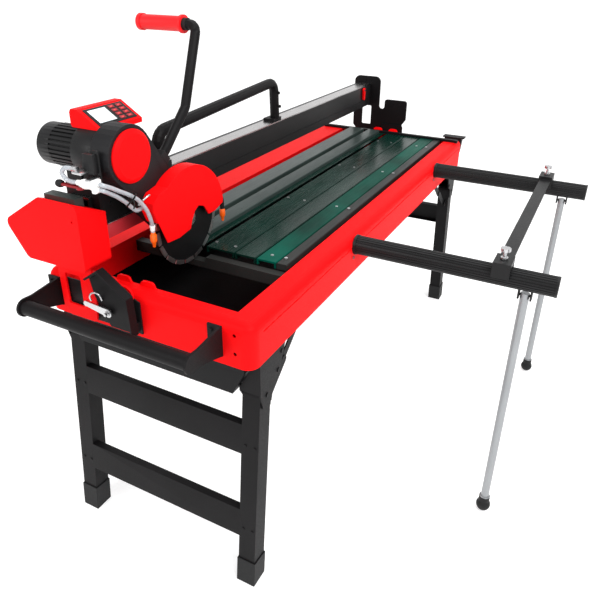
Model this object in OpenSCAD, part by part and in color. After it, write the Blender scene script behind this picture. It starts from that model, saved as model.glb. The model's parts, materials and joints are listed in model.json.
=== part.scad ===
// Electric bridge tile cutter: a long water-trough frame on folding legs, a tilting bridge rail,
// a powered saw head that runs along it, and a side extension with its own fence and props.
// Millimetres. X runs from the handle end to the far end and +Y is the bridge side.
// Working coordinates are centred on the leg frames; place() moves them to the part's origin,
// which is the middle of the footprint, on the floor.

/* [Body] */
// Outer face of the near end panel
near_end_x = -730; // [-740:1:-725]
// Outer face of the far end panel
far_end_x = 741; // [735:1:745]
// Half of the body's width
half_w = 252; // [250:1:256]
// Underside of the body
body_z = 560; // [556:1:566]
// Top of the rim
rim_z = 653; // [651:1:655]
// Sheet thickness of the body
wall = 3; // [2:0.5:4]
// Width of the side flanges
side_flange = 53; // [48:1:56]
// Width of the near end flange
near_flange = 39; // [36:1:42]
// Width of the far end flange
far_flange = 50; // [46:1:54]
// Radius of the upright corners
corner_r = 25; // [22:1:28]
// Underside of the water basin
basin_z = 484; // [482:1:500]

/* [Table] */
// Top of the table boards
table_z = 655; // [654:1:658]
// Near end of the boards
table_x0 = -484; // [-490:1:-478]
// Far end of the boards
table_x1 = 676; // [670:1:684]
// Rise of the two raised strips above the boards
strip_rise = 9; // [4:1:12]
// Width of the blade slot
slot_w = 10; // [8:1:12]

/* [Bridge] */
// Front face of the bridge rail
rail_y0 = 120; // [119:1:121]
// Back face of the bridge rail
rail_y1 = 170; // [168:1:171]
// Underside of the bridge rail
rail_z0 = 742; // [740:1:744]
// Top of the bridge rail
rail_z1 = 820; // [819:1:821]
// Tilt axis across the machine
tilt_y = 22; // [20:1:24]
// Tilt axis above the floor, level with the table's surface
tilt_z = 655; // [654:1:656]

/* [Saw head] */
// Motor axis along the machine
motor_x = -665; // [-667:1:-663]
// Motor axis above the floor
motor_z = 903; // [902:1:905]
// Radius of the motor's ribbed barrel
motor_r = 42; // [41:1:43]
// Back end of the motor
motor_y1 = 240; // [236:1:244]
// Blade centre along the machine
blade_x = -537; // [-539:1:-535]
// Blade centre above the floor
blade_z = 740; // [739:1:742]
// Blade plane across the machine
blade_y = 23; // [22:1:24]
// Blade radius
blade_r = 100; // [90:1:102]
// Outer radius of the guard
guard_r = 114; // [112:1:116]

/* [Stand] */
// Side of the square leg tube
leg_w = 40; // [36:1:42]
// Outer face of a leg at the floor, from the middle
leg_foot_x = 743; // [738:1:746]
// Outward lean of the leg frames in degrees
leg_lean = 5.4; // [5:0.1:6]
// Height of the fold pivots
fold_z = 476; // [472:1:477]
// Height of the rubber boots
boot_h = 62; // [40:1:70]

/* [Extension] */
// Near extension arm along the machine
arm_near_x = -262; // [-270:1:-255]
// Far extension arm along the machine
arm_far_x = 400; // [392:1:408]
// Height of the arm axis
arm_z = 630; // [629:1:631]
// Outer diameter of an arm
arm_d = 45; // [42:1:46]
// Outer end of the arms
arm_end_y = -703; // [-712:1:-695]
// Props across the machine
prop_y = -641; // [-650:1:-630]
// Lean of the props towards the near end in degrees
prop_lean = 3; // [0:0.5:4]
// Diameter of a prop tube
prop_d = 19; // [16:1:20]

/* [Hidden] */
$fn = 48;

red = "#e8141c";
black = "#1c1c1e";
green = "#12332c";
steel = "#c8c8cc";
rubber = "#2a2a2c";

// Extents of the whole machine, which set the origin
handle_x = -820;
handle_z = 616;
handle_d = 30;
lift_x1 = 776;
x_low = handle_x - handle_d / 2;
x_high = lift_x1;
y_low = arm_end_y;
housing_y1 = 272;
y_high = housing_y1;

// Body
rim_h = rim_z - body_z;
shoulder_r = 20;
lip_h = 66;
foot_w = 12;
groove_v = 68;
groove_w = 3;
groove_d = 1.6;
inner_y = half_w - side_flange;
inner_x0 = near_end_x + near_flange;
inner_x1 = far_end_x - far_flange;
cap_hole_r = 4;
cap_hole_y = 214;
cap_hole_z = 589;
cap_hole_step = 39;
tilt_pin_r = 8;
fit = 0.05;
shelf_y = 282;
shelf_x0 = -660;
shelf_x1 = 712;
shelf_t = 2;
shelf_drop = 14;

// Table boards as [front edge, back edge, rise above table_z]
board_h = 14;
boards = [
  [-160, -113, 0], [-110, -58, 0], [-55, tilt_y - slot_w / 2, 0], [tilt_y + slot_w / 2, 45, 0],
  [47, 91, strip_rise], [109, 165, strip_rise]];
edge_y0 = -186;
edge_y1 = -162;
screw_xs = [-456, -118, 222, 560];

// Bridge
rail_x0 = -706;
post_x0 = 747;
post_t = 6;
swing_x0 = -741;
swing_t = 5;
pulley_r = 19;
feed_z = (rail_z0 + rail_z1) / 2;
feed_y = (rail_y0 + rail_y1) / 2;
feed_x = -740;
idler_x = 720;

// Saw head
case_y0 = 40;
case_y1 = 84;
case_motor_r = 58;
case_blade_r = 46;
spigot_r = 30;
spindle_r = 10;
drive_r = 22;
driven_r = 28;
pulley_y0 = 52;
pulley_y1 = 70;
guard_y0 = 8;
guard_y1 = 37;

// Stand
fold_x = leg_foot_x - leg_w / 2 - fold_z * tan(leg_lean);
leg_y0 = 206;
leg_y1 = 246;
brace_y = 230;
brace_a = [31, -44];
brace_top = [502, 551];
brace_w = 18;
brace_t = 3;
basin_half = 223;
basin_slope = basin_z + 55;
basin_over = 24;

// Small geometry helpers
function arc(cx, cy, r, a0, a1, n) =
  [for (i = [0:n]) let (a = a0 + (a1 - a0) * i / n) [cx + r * cos(a), cy + r * sin(a)]];
function round_box(x0, y0, x1, y1, r, n = 6) = concat(
  arc(x1 - r, y1 - r, r, 0, 90, n), arc(x0 + r, y1 - r, r, 90, 180, n),
  arc(x0 + r, y0 + r, r, 180, 270, n), arc(x1 - r, y0 + r, r, 270, 360, n));
function unit(v) = v / norm(v);
// Outline of a loop round two circles, such as a belt or a case
function loop_outline(c0, r0, c1, r1, n = 16) =
  let (d = c1 - c0, dir = atan2(d[1], d[0]), open = acos((r0 - r1) / norm(d)))
  concat(arc(c0[0], c0[1], r0, dir + open, dir + 360 - open, n),
         arc(c1[0], c1[1], r1, dir - open, dir + open, n));
// Replaces each inner corner of a path by an arc of radius r
function corner_arc(a, b, c, r, n) =
  let (u = unit(a - b), v = unit(c - b), half = acos(u * v) / 2, cut = r / tan(half),
       mid = b + unit(u + v) * (r / sin(half)), p = b + u * cut - mid, q = b + v * cut - mid,
       sweep = 180 - 2 * half)
  [for (i = [0:n]) let (t = i / n)
    mid + (p * sin(sweep * (1 - t)) + q * sin(sweep * t)) / sin(sweep)];
function rounded_path(pts, r, n = 5) = concat(
  [pts[0]],
  [for (i = [1:len(pts) - 2]) each corner_arc(pts[i - 1], pts[i], pts[i + 1], r, n)],
  [pts[len(pts) - 1]]);

module place() {
  translate([-(x_low + x_high) / 2, -(y_low + y_high) / 2, 0]) children();
}
module block(x0, x1, y0, y1, z0, z1) {
  translate([x0, y0, z0]) cube([x1 - x0, y1 - y0, z1 - z0]);
}
module rod_x(x0, x1, y, z, r) {
  translate([x0, y, z]) rotate([0, 90, 0]) cylinder(r = r, h = x1 - x0);
}
module rod_y(y0, y1, x, z, r) {
  translate([x, y1, z]) rotate([90, 0, 0]) cylinder(r = r, h = y1 - y0);
}
module rod_z(z0, z1, x, y, r) {
  translate([x, y, z0]) cylinder(r = r, h = z1 - z0);
}
// A plate across X whose outline is given as (y, z)
module plate_x(x0, x1) {
  translate([x0, 0, 0]) rotate([90, 0, 90]) linear_extrude(x1 - x0) children();
}
// A plate across Y whose outline is given as (x, z)
module plate_y(y0, y1) {
  translate([0, y1, 0]) rotate([90, 0, 0]) linear_extrude(y1 - y0) children();
}
// Both sides of the machine
module both_sides() {
  children();
  mirror([0, 1, 0]) children();
}
// A round tube along a path; side is a direction that the path never follows
module swept_tube(path, r, side, sides = 12) {
  last = len(path) - 1;
  tangent = [for (i = [0:last]) unit(path[min(i + 1, last)] - path[max(i - 1, 0)])];
  rings = [for (i = [0:last])
    let (u = unit(cross(tangent[i], side)), v = cross(tangent[i], u))
    for (k = [0:sides - 1]) path[i] + r * (cos(k * 360 / sides) * u + sin(k * 360 / sides) * v)];
  skin = [for (i = [0:last - 1]) for (k = [0:sides - 1]) let (n = (k + 1) % sides)
    [i * sides + k, (i + 1) * sides + k, (i + 1) * sides + n, i * sides + n]];
  caps = [[for (k = [0:sides - 1]) k], [for (k = [sides - 1:-1:0]) last * sides + k]];
  polyhedron(rings, concat(skin, caps), convexity = 6);
}

// ---- Body ----

// Section of the rim: u runs inward from the outer face, v up from the body's underside
function rim_section(flange, lip = lip_h) = concat(
  [[0, 0], [0, rim_h - shoulder_r]],
  [for (a = [15:15:75]) [shoulder_r * (1 - cos(a)), rim_h - shoulder_r * (1 - sin(a))]],
  [[shoulder_r, rim_h], [flange, rim_h], [flange, rim_h - lip]],
  lip > wall ? [[flange - wall, rim_h - lip], [flange - wall, rim_h - wall]] : [],
  [[shoulder_r, rim_h - wall]],
  [for (a = [75:-15:15]) let (r = shoulder_r - wall)
    [shoulder_r - r * cos(a), rim_h - shoulder_r + r * sin(a)]],
  [[wall, rim_h - shoulder_r], [wall, wall], [foot_w, wall], [foot_w, 0]]);
module side_rail() {
  plate_x(inner_x0, inner_x1) translate([-half_w, body_z]) difference() {
    polygon(rim_section(side_flange));
    translate([-1, groove_v - groove_w / 2]) square([1 + groove_d, groove_w]);
  }
}
module front_side_rail() {
  color(red) place() side_rail();
}
module back_side_rail() {
  color(red) place() {
    mirror([0, 1, 0]) side_rail();
    // A shelf along the back catches the spray below the rail
    block(shelf_x0, inner_x1, half_w - shoulder_r - 6, half_w + 5, rim_z - shelf_t, rim_z);
    plate_x(shelf_x0, shelf_x1) polygon([[half_w + 0.2, rim_z - shelf_t], [half_w + 0.2, rim_z],
      [shelf_y, rim_z], [shelf_y, rim_z - shelf_drop], [shelf_y - shelf_t, rim_z - shelf_drop],
      [shelf_y - shelf_t, rim_z - shelf_t]]);
  }
}
module end_lugs(x0, x1) {
  for (y = [7, 67]) plate_x(x0, x1) polygon(concat(
    [[y - 22, rim_z - wall], [y + 22, rim_z - wall]], arc(y + 8, rim_z + 3, 9, 0, 90, 4),
    arc(y - 8, rim_z + 3, 9, 90, 180, 4)));
}
module near_end_panel() {
  color(red) place() {
    plate_y(-inner_y, inner_y) translate([near_end_x, body_z]) polygon(rim_section(near_flange));
    end_lugs(inner_x0 - 5, inner_x0);
  }
}
module far_end_panel() {
  color(red) place() {
    plate_y(-inner_y, inner_y) translate([far_end_x, body_z]) mirror([1, 0])
      polygon(rim_section(far_flange));
    end_lugs(far_end_x - 28, far_end_x - 23);
  }
}
// One rounded corner, its own outer corner at the origin, growing towards +X and +Y
module corner_cap(flange) {
  translate([corner_r, corner_r, 0]) rotate([0, 0, 180]) rotate_extrude(angle = 90)
    polygon([for (p = rim_section(corner_r, wall)) [corner_r - p[0], p[1]]]);
  translate([corner_r, 0, 0]) rotate([90, 0, 90]) linear_extrude(flange - corner_r)
    polygon(rim_section(side_flange));
  translate([0, side_flange, 0]) rotate([90, 0, 0]) linear_extrude(side_flange - corner_r)
    polygon(rim_section(flange, wall));
}
module corner_caps() {
  color(red) place() both_sides() {
    difference() {
      translate([near_end_x, -half_w, body_z]) corner_cap(near_flange);
      for (k = [0, 1])
        rod_x(near_end_x - 1, near_end_x + wall + 1, -cap_hole_y,
          cap_hole_z + k * cap_hole_step, cap_hole_r);
    }
    translate([far_end_x, -half_w, body_z]) mirror([1, 0, 0]) corner_cap(far_flange);
  }
}

// Outline of the water basin across the machine, shrunk by t
function basin_outline(t) = let (low = inner_y - 4 - t * 0.6, high = basin_half - t)
  [[-high, rim_z - lip_h], [-high, basin_slope], [-low, basin_z + t], [low, basin_z + t],
   [high, basin_slope], [high, rim_z - lip_h]];
module water_basin() {
  x0 = inner_x0 - basin_over;
  x1 = inner_x1 + basin_over;
  inside = basin_outline(wall);
  color(black) place() {
    plate_x(x0, x1) polygon(concat(basin_outline(0), [for (i = [5:-1:0]) inside[i]]));
    for (x = [x0, x1 - wall]) plate_x(x, x + wall) polygon(basin_outline(0));
  }
}

// ---- Table ----
cross_xs = [-500, -250, 100, 450, 664];
cross_w = 20;
cross_h = 26;
module table_cross_members() {
  color(green) place() for (x = cross_xs) difference() {
    block(x - cross_w / 2, x + cross_w / 2, -inner_y, inner_y, table_z - board_h - cross_h,
      table_z - board_h);
    block(x - cross_w, x + cross_w, tilt_y - 20, tilt_y + 24, table_z - board_h - 12, table_z);
    block(x - cross_w / 2 + wall, x + cross_w / 2 - wall, -inner_y - 1, inner_y + 1, 0,
      table_z - board_h - 16);
  }
}
// A board's section from edge a to edge b with small chamfers, hollow underneath
module board_section(a, b, rise) {
  top = table_z + rise;
  bottom = table_z - board_h;
  c = 1.5;
  difference() {
    polygon([[a, bottom], [b, bottom], [b, top - c], [b - c, top], [a + c, top], [a, top - c]]);
    if (b - a > 30) translate([a + 4, bottom - 1]) square([b - a - 8, board_h - 3 + rise]);
  }
}
module table_boards() {
  color(green) place() {
    for (i = [0, 1, 2, 4, 5]) plate_x(table_x0, table_x1)
      board_section(boards[i][0], boards[i][1], boards[i][2]);
    // The board beyond the slot is cut back below so that the tilted blade passes
    plate_x(table_x0, table_x1) polygon([[boards[3][0], table_z], [boards[3][0], table_z - 1],
      [boards[3][0] + board_h - 1, table_z - board_h], [boards[3][1], table_z - board_h],
      [boards[3][1], table_z]]);
  }
}
module table_edge_strip() {
  color(green) place() plate_x(table_x0, table_x1) board_section(edge_y0, edge_y1, 0);
}
module table_screws() {
  color(steel) place() {
    for (x = screw_xs) rod_z(table_z, table_z + 2.5, x, (edge_y0 + edge_y1) / 2 + 4, 4);
    for (x = screw_xs) for (y = [-136, -42, 8]) rod_z(table_z, table_z + 1.5, x, y, 3.5);
  }
}
module far_rest_strip() {
  color(black) place() block(table_x1 + 1, inner_x1, -half_w + 4, shelf_y - 8, rim_z, rim_z + 9);
}

// ---- Ends ----
handle_y0 = -184;
handle_y1 = 208;
module end_handle_tube() {
  color(black) place() rod_y(handle_y0, handle_y1, handle_x, handle_z, handle_d / 2);
}
// One bracket: a plate in the X-Z plane and its foot on the end panel, growing towards +Y
module handle_bracket(y, foot_y) {
  plate_y(y, y + 5) polygon(concat([[near_end_x, 642], [near_end_x, 578], [-790, 596]],
    arc(handle_x, handle_z, handle_d / 2 + 4, 290, 90, 12), [[-800, 634]]));
  block(near_end_x - 4, near_end_x, min(foot_y, y), max(foot_y, y + 5), 578, 642);
  for (z = [590, 630]) rod_x(near_end_x - 7, near_end_x - 4, foot_y + (foot_y > y ? -8 : 8), z, 4);
}
module handle_brackets() {
  color(black) place() {
    handle_bracket(handle_y1, handle_y1 + 30);
    handle_bracket(handle_y0 - 5, handle_y0 + 25);
  }
}
plate_x0 = -750;
module near_tilt_plate() {
  outer = [[-5, 578], [-1, 660], [66, 705], [103, 679], [95, 640], [62, 578]];
  color(black) place() {
    plate_x(plate_x0, plate_x0 + 4) polygon(outer);
    plate_x(plate_x0 - 15, plate_x0) polygon([[-5, 578], [-1, 660], [66, 705], [103, 679],
      [98, 677], [66, 700], [3, 657], [-1, 578]]);
    block(plate_x0 + 4, near_end_x, 0, 56, 578, 598);
    rod_x(plate_x0 + 4, near_end_x, tilt_y, tilt_z, tilt_pin_r);
    rod_x(plate_x0 - 5, plate_x0, tilt_y, tilt_z, 11);
    rod_x(plate_x0 - 9, plate_x0, lock_y, lock_z, lock_pin_r);
  }
}
lock_y = 58;
lock_z = 612;
lock_pin_r = 4;
module tilt_lock_lever() {
  x0 = plate_x0 - 8;
  color(steel) place() plate_x(x0, x0 + 4) difference() {
    polygon(concat(arc(lock_y, lock_z, 9, 110, 270, 10), [[112, 614]],
      arc(113, 619, 6, 270, 450, 8), [[104, 624]]));
    translate([lock_y, lock_z]) circle(lock_pin_r + fit);
  }
}
module far_tilt_plate() {
  color(black) place() {
    plate_x(far_end_x, far_end_x + 4) polygon(round_box(-20, 596, 66, 674, 8));
    rod_x(far_end_x + 4, post_x0 + post_t + 2, tilt_y, tilt_z, tilt_pin_r);
    rod_x(post_x0 + post_t + 2, post_x0 + post_t + 7, tilt_y, tilt_z, 13);
  }
}
lift_y = [-256, -178];
module far_lift_plate() {
  color(black) place() {
    block(far_end_x + wall, lift_x1, lift_y[0], lift_y[1], rim_z, rim_z + 4);
    block(far_end_x, far_end_x + wall, lift_y[0] + 8, lift_y[1] - 8, 606, rim_z + 4);
    for (y = [lift_y[0] + 8, lift_y[1] - 12]) plate_y(y, y + 4)
      polygon([[far_end_x + wall, 610], [far_end_x + wall, rim_z], [lift_x1 - 6, rim_z]]);
  }
}

// ---- Extension ----
arm_xs = [arm_near_x, arm_far_x];
arm_r = arm_d / 2;
prop_pivot_z = 596;
prop_pin_r = 3;
// A ribbed tube section, its flats between n small grooves
function ribbed(r, n, depth) = [for (i = [0:n - 1]) for (k = [0:3])
  let (a = (i + [0, 0.55, 0.65, 0.9][k]) * 360 / n, q = k < 2 ? r : r - depth)
  [q * cos(a), q * sin(a)]];
module extension_arms() {
  color(black) place() for (x = arm_xs) {
    difference() {
      union() {
        plate_y(arm_end_y + 5, -half_w - 5) translate([x, arm_z])
          polygon(ribbed(arm_r, 24, 1.4));
        rod_y(-half_w - 6, -half_w, x, arm_z, arm_r + 1.5);
        // Ears that carry the prop
        for (y = [prop_y - 15, prop_y + 11])
          block(x - 9, x + 9, y, y + 4, prop_pivot_z - 8, arm_z - arm_r + 3.5);
      }
      rod_y(arm_end_y + 5, -half_w + 1, x, arm_z, arm_r - 4.5);
    }
    rod_y(arm_end_y, arm_end_y + 5, x, arm_z, arm_r + 0.5);
    rod_y(-half_w - 3, -half_w, x - 16, arm_z - 28, 4);
    rod_y(prop_y - 11, prop_y + 11, x, prop_pivot_z, prop_pin_r);
  }
}
module prop(x) {
  ball = 17;
  drop = (prop_pivot_z - ball) / cos(prop_lean);
  difference() {
    translate([x, prop_y, prop_pivot_z]) rotate([0, prop_lean, 0]) rotate_extrude()
      polygon(concat([[0, 5], [0, -drop - ball], [1, -drop - ball]], arc(0, -drop, ball, -80, 35, 10),
        [[13, 12 - drop], [13, 26 - drop], [prop_d / 2, 27 - drop], [prop_d / 2, 5]]));
    rod_y(prop_y - prop_d, prop_y + prop_d, x, prop_pivot_z, prop_pin_r + fit);
  }
}
module near_prop() {
  color(steel) place() prop(arm_near_x);
}
module far_prop() {
  color(steel) place() prop(arm_far_x);
}
fence_y0 = -602;
fence_y1 = -572;
fence_z = 653;
clamp_r = 4;
module fence_bar() {
  mid = (fence_y0 + fence_y1) / 2;
  color(black) place() difference() {
    union() {
      block(arm_near_x - 23, arm_far_x + 25, fence_y0, fence_y1, fence_z, fence_z + 6);
      for (x = arm_xs) {
        block(x - 27, x + 27, fence_y0 - 4, fence_y1 + 4, fence_z, fence_z + 15);
        for (s = [-1, 1]) block(x + s * 25 - 2, x + s * 25 + 2, fence_y0 - 4, fence_y1 + 4,
          fence_z - 20, fence_z + 3);
      }
    }
    for (x = arm_xs) rod_z(fence_z - 1, fence_z + 20, x, mid, clamp_r + fit);
  }
}
module fence_screw(x) {
  mid = (fence_y0 + fence_y1) / 2;
  color(steel) place() {
    rod_z(fence_z + 2.5, fence_z + 40, x, mid, clamp_r);
    rod_z(fence_z + 16, fence_z + 20, x, mid, 8);
    translate([x, mid, fence_z + 34]) linear_extrude(7) polygon(ribbed(11, 8, 2.5));
  }
}
module fence_screw_near() {
  fence_screw(arm_near_x);
}
module fence_screw_far() {
  fence_screw(arm_far_x);
}

// ---- Stand ----
// Turns the near end's shape into the near or the far one
module at_end(far) {
  if (far) mirror([1, 0, 0]) children();
  else children();
}
half_leg = leg_w / 2;
pivot_r = 5;
module leg_hangers() {
  web_x = -fold_x - half_leg - 4;
  color(black) place() for (far = [false, true]) at_end(far) both_sides() {
    plate_y(leg_y1 + 0.6, leg_y1 + 3.6) polygon([[web_x, body_z], [web_x, 487], [-fold_x - 16,
      452], [-fold_x + 16, 452], [-fold_x + 26, 487], [-628, 500], [-604, body_z]]);
    plate_x(web_x, web_x + 3) polygon([[leg_y0 - 1, 487], [leg_y1 + 0.6, 487],
      [leg_y1 + 0.6, body_z], [basin_half + 3, body_z], [basin_half + 3, 540], [leg_y0 - 1, 498]]);
    plate_y(leg_y0 - 4, leg_y0 - 1) polygon([[web_x, 498], [web_x, 487], [-fold_x - 10, 462],
      [-fold_x + 10, 462], [-fold_x + 14, 480], [-fold_x + 4, 496]]);
    rod_y(leg_y0 - 1, leg_y1 + 0.6, -fold_x, fold_z, pivot_r);
    for (p = [[-619, 543], [-634, 507], [-fold_x, fold_z]])
      rod_y(leg_y1 + 3.6, leg_y1 + 5.6, p[0], p[1], 5);
    // The brace's lug under the side rail, with its short pin
    plate_y(brace_y + 6, brace_y + 9) polygon(concat([[-brace_top[0] - 11, body_z]],
      arc(-brace_top[0], brace_top[1], 9, 200, 340, 8), [[-brace_top[0] + 11, body_z]]));
    block(-brace_top[0] - 11, -brace_top[0] + 11, brace_y + 9, half_w - 4, body_z - 3, body_z);
    rod_y(brace_y - brace_t / 2 + 1, brace_y + 6, -brace_top[0], brace_top[1], brace_pin_r);
  }
}
brace_pin_r = 3;
module leg_frame(far) {
  at_end(far) difference() {
    translate([-fold_x, 0, fold_z]) rotate([0, leg_lean, 0]) {
      both_sides() difference() {
        union() {
          plate_y(leg_y0, leg_y1) polygon(concat(arc(0, 0, half_leg, 0, 180, 12),
            [[-half_leg, -500], [half_leg, -500]]));
          plate_y(brace_y + 4, brace_y + 7) polygon(concat([[half_leg, brace_a[1] - 12]],
            arc(brace_a[0], brace_a[1], 8, 300, 420, 6), [[half_leg, brace_a[1] + 12]]));
          rod_y(brace_y - 2, brace_y + 4, brace_a[0], brace_a[1], brace_pin_r);
          for (z = bar_local) for (y = [leg_y0 + 9, leg_y1 - 9])
            rod_x(-half_leg - 1.5, -half_leg, y, z, 3.5);
        }
        block(2 - half_leg, half_leg - 2, leg_y0 + 2, leg_y1 - 2, -510, -half_leg);
        rod_y(leg_y0 - 1, leg_y1 + 1, 0, 0, pivot_r + fit);
      }
      for (z = bar_z) difference() {
        block(-half_leg, -2, -leg_y0, leg_y0, z - bar_h / 2, z + bar_h / 2);
        block(2 - half_leg, -1, 2 - leg_y0, leg_y0 - 2, z - bar_h / 2 + 2, z + bar_h / 2 - 2);
      }
    }
    block(-900, -500, -300, 300, -60, 4);
  }
}
bar_h = 70;
bar_z = [155 - fold_z, 368 - fold_z];
bar_local = [for (z = bar_z) z - 12];
module near_leg_frame() {
  color(black) place() leg_frame(false);
}
module far_leg_frame() {
  color(black) place() leg_frame(true);
}
module leg_boots(far) {
  b = half_leg + 2.5;
  mid = (leg_y0 + leg_y1) / 2;
  at_end(far) both_sides() difference() {
    translate([-fold_x, mid, fold_z]) rotate([0, leg_lean, 0]) block(-b, b, -b, b, -500,
      (boot_h - fold_z) / cos(leg_lean));
    difference() {
      translate([-fold_x, mid, fold_z]) rotate([0, leg_lean, 0])
        block(-half_leg, half_leg, -half_leg, half_leg, -500, 0);
      block(-900, -500, 0, 300, -60, 4);
    }
    block(-900, -500, 0, 300, -60, 0);
  }
}
module near_leg_boots() {
  color(rubber) place() leg_boots(false);
}
module far_leg_boots() {
  color(rubber) place() leg_boots(true);
}
// Brace pivots: on the leg, in the middle and on the body
brace_l = [-fold_x + brace_a[0] * cos(leg_lean) + brace_a[1] * sin(leg_lean),
  fold_z - brace_a[0] * sin(leg_lean) + brace_a[1] * cos(leg_lean)];
brace_b = [-brace_top[0], brace_top[1]];
brace_m = (brace_l + brace_b) / 2;
// A flat link from p to q, with a hole at p and at q
module link(p, q, y, hole_p, hole_q) {
  r = brace_w / 2;
  a = atan2(q[1] - p[1], q[0] - p[0]);
  plate_y(y - brace_t / 2, y + brace_t / 2) difference() {
    polygon(concat(arc(p[0], p[1], r, a + 90, a + 270, 10), arc(q[0], q[1], r, a - 90, a + 90, 10)));
    translate(p) circle(hole_p);
    if (hole_q > 0) translate(q) circle(hole_q);
  }
}
module brace_lower(far) {
  at_end(far) both_sides() {
    link(brace_l, brace_m, brace_y, brace_pin_r + fit, 0);
    rod_y(brace_y - brace_t * 1.5 - 1, brace_y - brace_t / 2, brace_m[0], brace_m[1],
      brace_pin_r);
  }
}
module brace_upper(far) {
  at_end(far) both_sides()
    link(brace_m, brace_b, brace_y - brace_t - 0.5, brace_pin_r + fit, brace_pin_r + 1);
}
module near_brace_lower() {
  color(black) place() brace_lower(false);
}
module near_brace_upper() {
  color(black) place() brace_upper(false);
}
module far_brace_lower() {
  color(black) place() brace_lower(true);
}
module far_brace_upper() {
  color(black) place() brace_upper(true);
}

// ---- Bridge ----
rail_wall = 3;
module bridge_rail() {
  color(black) place() {
    rod_y(rail_y0 - 9, rail_y0, rail_lever_x, rail_lever_z, 4);
    plate_x(rail_x0, post_x0) difference() {
      polygon([[rail_y0, rail_z0], [rail_y1, rail_z0], [rail_y1, rail_z1],
        [rail_y1 - 10, rail_z1], [rail_y1 - 10, rail_z1 - 3], [rail_y0, rail_z1 - 3]]);
      translate([rail_y0 + rail_wall, rail_z0 + rail_wall])
        square([rail_y1 - rail_y0 - 2 * rail_wall, rail_z1 - rail_z0 - 3 * rail_wall]);
      translate([feed_y - 6, rail_z0 - 1]) square([12, 5]);
      translate([rail_y0 - 1, rail_z0 + 22]) square([2.5, 3]);
    }
  }
}
module rail_top_strip() {
  color(steel) place() block(rail_x0, post_x0, rail_y0, rail_y1 - 10, rail_z1 - 3, rail_z1);
}
module near_swing_plate() {
  x1 = swing_x0 + swing_t;
  color(red) place() {
    plate_x(swing_x0, x1) difference() {
      polygon(concat(arc(tilt_y, tilt_z, 17, 90, 270, 14), [[100, 632], [108, 574], [114, 568],
        [178, 568], [195, 592], [195, 700], [104, 700], [104, 672]]));
      polygon(round_box(138, 596, 178, 665, 4));
      translate([tilt_y, tilt_z]) circle(tilt_pin_r + fit);
    }
    block(x1, rail_x0 - 3, 112, 190, 694, 700);
  }
}
module far_swing_post() {
  x1 = post_x0 + post_t;
  color(black) place() {
    plate_x(post_x0, x1) difference() {
      polygon(concat([[-14, 640], [-14, 676], [-28, 696]], arc(-18, 756, 10, 180, 90, 6),
        arc(49, 756, 10, 90, 0, 6), arc(70, 740, 11, 180, 360, 8), arc(101, 826, 20, 180, 90, 8),
        arc(164, 826, 20, 90, 0, 8), [[184, 660], [166, 640], [66, 630], [0, 630]]));
      polygon(round_box(112, 666, 149, 737, 4));
      translate([tilt_y, tilt_z]) circle(tilt_pin_r + fit);
    }
    for (y = [122, 142]) rod_x(post_x0 - 3, post_x0, y, 832, 5);
    for (y = [0, 30]) rod_x(post_x0 - 3, post_x0, y, 748, 4);
  }
}
rail_lever_x = 671;
rail_lever_z = 806;
module rail_clamp_lever() {
  color(red) place() plate_y(rail_y0 - 8, rail_y0 - 2) difference() {
    polygon(concat(arc(rail_lever_x, rail_lever_z, 8, 0, 180, 10),
      arc(rail_lever_x, rail_lever_z - 30, 6, 180, 360, 8)));
    translate([rail_lever_x, rail_lever_z]) circle(4 + fit);
  }
}
function housing_outline() = concat(arc(90, 710, 10, 180, 270, 5), [[228, 700]],
  arc(222, 716, 16, 285, 330, 4), arc(housing_y1 - 16, 766, 16, -30, 60, 6), arc(168, 811, 24, 66, 90, 4),
  arc(96, 819, 16, 90, 180, 5));
feed_x0 = -775;
feed_x1 = -706;
lid_x0 = -758;
lid_x1 = -736;
lid_top = 837;
roof_front = 835;
roof_back = 802;
// Everything below the sloping roof, or below its inner face
module under_roof(wall) {
  plate_y(0, 300) polygon([[feed_x0, 600], [feed_x1, 600], [feed_x1, roof_back - wall],
    [feed_x0, roof_front - wall]]);
}
module feed_housing() {
  color(red) place() {
    difference() {
      intersection() {
        plate_x(feed_x0, feed_x1) polygon(housing_outline());
        under_roof(0);
      }
      intersection() {
        plate_x(feed_x0 + 4, feed_x1 - 4) polygon([[86, 706], [228, 706], [262, 768],
          [252, 780], [166, 829], [94, 829], [86, 820]]);
        under_roof(5);
      }
      block(feed_x1 - 6, feed_x1 + 1, rail_y0 + 3, rail_y1 - 3, rail_z0 + 3, roof_back - 6);
      rod_x(feed_x0 - 1, feed_x0 + 5, 96, 800, 2.5);
    }
    plate_y(100, 176) polygon([[lid_x0, lid_top - 17], [lid_x1, lid_top - 28], [lid_x1, lid_top],
      [lid_x0, lid_top]]);
  }
}
feed_shaft_r = 5;
module feed_motor() {
  z0 = 706;
  color(black) place() {
    rod_z(z0, feed_z - 24, feed_x, feed_y, 20);
    rod_z(feed_z - 24, feed_z - 18, feed_x, feed_y, 12);
    rod_z(feed_z - 18, feed_z + 14, feed_x, feed_y, feed_shaft_r);
  }
}
belt_h = 12;
belt_t = 1.5;
module belt_pulley(x, shaft_r) {
  difference() {
    union() {
      rod_z(feed_z - belt_h / 2 - 0.8, feed_z + belt_h / 2 + 0.8, x, feed_y, pulley_r - 0.3);
      for (s = [-1, 1]) rod_z(feed_z + s * (belt_h / 2 + 1.8) - 1, feed_z + s * (belt_h / 2 + 1.8)
        + 1, x, feed_y, pulley_r + 1);
    }
    rod_z(feed_z - 30, feed_z + 30, x, feed_y, shaft_r);
  }
}
module feed_pulley() {
  color(steel) place() belt_pulley(feed_x, feed_shaft_r + fit);
}
module idler_pulley() {
  color(steel) place() belt_pulley(idler_x, feed_shaft_r + fit);
}
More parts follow.
